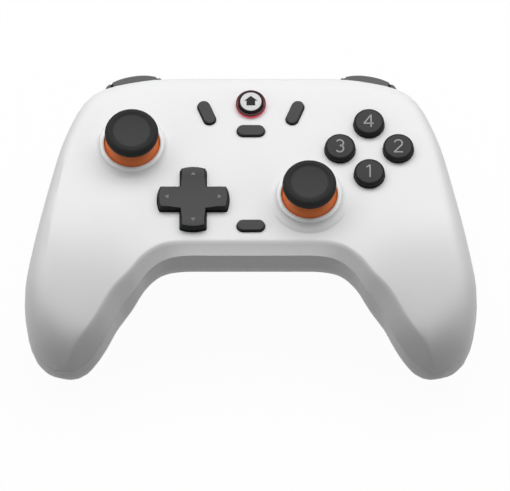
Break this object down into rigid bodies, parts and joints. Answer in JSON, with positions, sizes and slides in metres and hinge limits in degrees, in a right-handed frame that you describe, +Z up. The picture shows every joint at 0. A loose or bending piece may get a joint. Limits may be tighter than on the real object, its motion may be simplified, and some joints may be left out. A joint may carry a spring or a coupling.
{
  "type": "gamepad",
  "caption": "White two-handed gamepad with staggered thumbsticks on orange domes, direction pad, diamond of round face buttons, bumpers and triggers.",
  "frame": {"origin": "middle of the footprint, on the table that the grips and the triggers rest on", "axes": "+X to the player's right, +Y away from the player, +Z up out of the control face"},
  "size_m": [0.155, 0.1062, 0.0548],
  "materials": {
    "white_plastic": "fine satin texture",
    "black_rubber": "matte",
    "orange_plastic": "satin",
    "dark_plastic": "satin",
    "grey_plastic": "satin",
    "red_lens": "translucent",
    "nylon": "moulded",
    "steel": "plain",
    "module_plastic": "moulded",
    "silicone": "matte",
    "board": "solder mask",
    "chip": "moulded",
    "cell": "foil pouch",
    "lamp": "clear"
  },
  "bodies": {
    "housing": {"front_shell": "white_plastic", "rear_shell": "white_plastic", "shell_screws": "steel", "left_stick_ring": "white_plastic", "right_stick_ring": "white_plastic", "left_stick_module": "module_plastic", "right_stick_module": "module_plastic", "dpad_post": "nylon", "dpad_pad": "silicone", "button_pad": "silicone", "home_light_ring": "red_lens", "home_led": "lamp", "button_switches": "chip", "bumper_switches": "chip", "trigger_pins": "steel", "left_trigger_spring": "steel", "right_trigger_spring": "steel", "main_board": "board", "board_chips": "chip", "usb_port": "steel", "battery": "cell", "left_motor": "steel", "right_motor": "steel"},
    "left_gimbal": {"left_stick_gimbal": "nylon"},
    "left_shaft": {"left_stick_shaft": "nylon"},
    "left_stick": {"left_stick_cap": "black_rubber", "left_stick_dome": "orange_plastic"},
    "right_gimbal": {"right_stick_gimbal": "nylon"},
    "right_shaft": {"right_stick_shaft": "nylon"},
    "right_stick": {"right_stick_cap": "black_rubber", "right_stick_dome": "orange_plastic"},
    "dpad_ball": {"dpad_ball": "steel"},
    "dpad": {"dpad": "dark_plastic"},
    "button_south": {"button_south": "dark_plastic"},
    "button_east": {"button_east": "dark_plastic"},
    "button_west": {"button_west": "dark_plastic"},
    "button_north": {"button_north": "dark_plastic"},
    "home_button": {"home_button": "grey_plastic"},
    "left_menu_button": {"left_menu_button": "grey_plastic"},
    "right_menu_button": {"right_menu_button": "grey_plastic"},
    "middle_button": {"middle_button": "grey_plastic"},
    "mode_button": {"mode_button": "grey_plastic"},
    "left_bumper": {"left_bumper": "grey_plastic"},
    "right_bumper": {"right_bumper": "grey_plastic"},
    "left_trigger": {"left_trigger": "grey_plastic"},
    "right_trigger": {"right_trigger": "grey_plastic"},
    "left_motor_weight": {"left_motor_weight": "steel"},
    "right_motor_weight": {"right_motor_weight": "steel"}
  },
  "joints": [
    {"name": "left_stick_tilt_x", "type": "hinge", "parent": "housing", "child": "left_gimbal", "pos_m": [-0.0408, 0.0208, 0.035], "axis": [1, 0, 0], "range_deg": [-18, 18], "stiffness_Nm_per_rad": 0.03},
    {"name": "left_stick_tilt_y", "type": "hinge", "parent": "left_gimbal", "child": "left_shaft", "pos_m": [-0.0408, 0.0208, 0.035], "axis": [0, 1, 0], "range_deg": [-18, 18], "stiffness_Nm_per_rad": 0.03},
    {"name": "left_stick_click", "type": "slide", "parent": "left_shaft", "child": "left_stick", "axis": [0, 0, -1], "range_m": [0, 0.0005], "stiffness_N_per_m": 2500, "springref_m": -0.0004},
    {"name": "right_stick_tilt_x", "type": "hinge", "parent": "housing", "child": "right_gimbal", "pos_m": [0.02, 0.0004, 0.035], "axis": [1, 0, 0], "range_deg": [-18, 18], "stiffness_Nm_per_rad": 0.03},
    {"name": "right_stick_tilt_y", "type": "hinge", "parent": "right_gimbal", "child": "right_shaft", "pos_m": [0.02, 0.0004, 0.035], "axis": [0, 1, 0], "range_deg": [-18, 18], "stiffness_Nm_per_rad": 0.03},
    {"name": "right_stick_click", "type": "slide", "parent": "right_shaft", "child": "right_stick", "axis": [0, 0, -1], "range_m": [0, 0.0005], "stiffness_N_per_m": 2500, "springref_m": -0.0004},
    {"name": "dpad_tilt_x", "type": "hinge", "parent": "housing", "child": "dpad_ball", "pos_m": [-0.0197, -0.0007, 0.041], "axis": [1, 0, 0], "range_deg": [-3.5, 3.5], "stiffness_Nm_per_rad": 0.06, "deforming": ["dpad_pad"]},
    {"name": "dpad_tilt_y", "type": "hinge", "parent": "dpad_ball", "child": "dpad", "pos_m": [-0.0197, -0.0007, 0.041], "axis": [0, 1, 0], "range_deg": [-3.5, 3.5], "stiffness_Nm_per_rad": 0.06, "deforming": ["dpad_pad"]},
    {"name": "button_south_press", "type": "slide", "parent": "housing", "child": "button_south", "axis": [0, 0, -1], "range_m": [0, 0.0015], "stiffness_N_per_m": 400, "springref_m": -0.001, "deforming": ["button_pad"]},
    {"name": "button_east_press", "type": "slide", "parent": "housing", "child": "button_east", "axis": [0, 0, -1], "range_m": [0, 0.0015], "stiffness_N_per_m": 400, "springref_m": -0.001, "deforming": ["button_pad"]},
    {"name": "button_west_press", "type": "slide", "parent": "housing", "child": "button_west", "axis": [0, 0, -1], "range_m": [0, 0.0015], "stiffness_N_per_m": 400, "springref_m": -0.001, "deforming": ["button_pad"]},
    {"name": "button_north_press", "type": "slide", "parent": "housing", "child": "button_north", "axis": [0, 0, -1], "range_m": [0, 0.0015], "stiffness_N_per_m": 400, "springref_m": -0.001, "deforming": ["button_pad"]},
    {"name": "home_button_press", "type": "slide", "parent": "housing", "child": "home_button", "axis": [0, 0, -1], "range_m": [0, 0.00075], "stiffness_N_per_m": 900, "springref_m": -0.0005},
    {"name": "left_menu_button_press", "type": "slide", "parent": "housing", "child": "left_menu_button", "axis": [0, 0, -1], "range_m": [0, 0.00075], "stiffness_N_per_m": 900, "springref_m": -0.0005},
    {"name": "right_menu_button_press", "type": "slide", "parent": "housing", "child": "right_menu_button", "axis": [0, 0, -1], "range_m": [0, 0.00075], "stiffness_N_per_m": 900, "springref_m": -0.0005},
    {"name": "middle_button_press", "type": "slide", "parent": "housing", "child": "middle_button", "axis": [0, 0, -1], "range_m": [0, 0.00075], "stiffness_N_per_m": 900, "springref_m": -0.0005},
    {"name": "mode_button_press", "type": "slide", "parent": "housing", "child": "mode_button", "axis": [0, 0, -1], "range_m": [0, 0.00075], "stiffness_N_per_m": 900, "springref_m": -0.0005},
    {"name": "left_bumper_press", "type": "hinge", "parent": "housing", "child": "left_bumper", "pos_m": [-0.0255, 0.0435, 0.033], "axis": [0, 0, 1], "range_deg": [0, 3], "stiffness_Nm_per_rad": 0.4, "springref_deg": -2.29},
    {"name": "right_bumper_press", "type": "hinge", "parent": "housing", "child": "right_bumper", "pos_m": [0.0255, 0.0435, 0.033], "axis": [0, 0, -1], "range_deg": [0, 3], "stiffness_Nm_per_rad": 0.4, "springref_deg": -2.29},
    {"name": "left_trigger_pull", "type": "hinge", "parent": "housing", "child": "left_trigger", "pos_m": [-0.041, 0.033, 0.022], "axis": [-0.9659, -0.2588, 0], "range_deg": [0, 20], "stiffness_Nm_per_rad": 0.05, "springref_deg": -34.38, "deforming": ["left_trigger_spring"]},
    {"name": "right_trigger_pull", "type": "hinge", "parent": "housing", "child": "right_trigger", "pos_m": [0.041, 0.033, 0.022], "axis": [-0.9659, 0.2588, 0], "range_deg": [0, 20], "stiffness_Nm_per_rad": 0.05, "springref_deg": -34.38, "deforming": ["right_trigger_spring"]},
    {"name": "left_motor_spin", "type": "hinge", "parent": "housing", "child": "left_motor_weight", "pos_m": [-0.059, -0.022, 0.017], "axis": [0, 1, 0], "continuous": true},
    {"name": "right_motor_spin", "type": "hinge", "parent": "housing", "child": "right_motor_weight", "pos_m": [0.059, -0.022, 0.017], "axis": [0, 1, 0], "continuous": true}
  ]
}
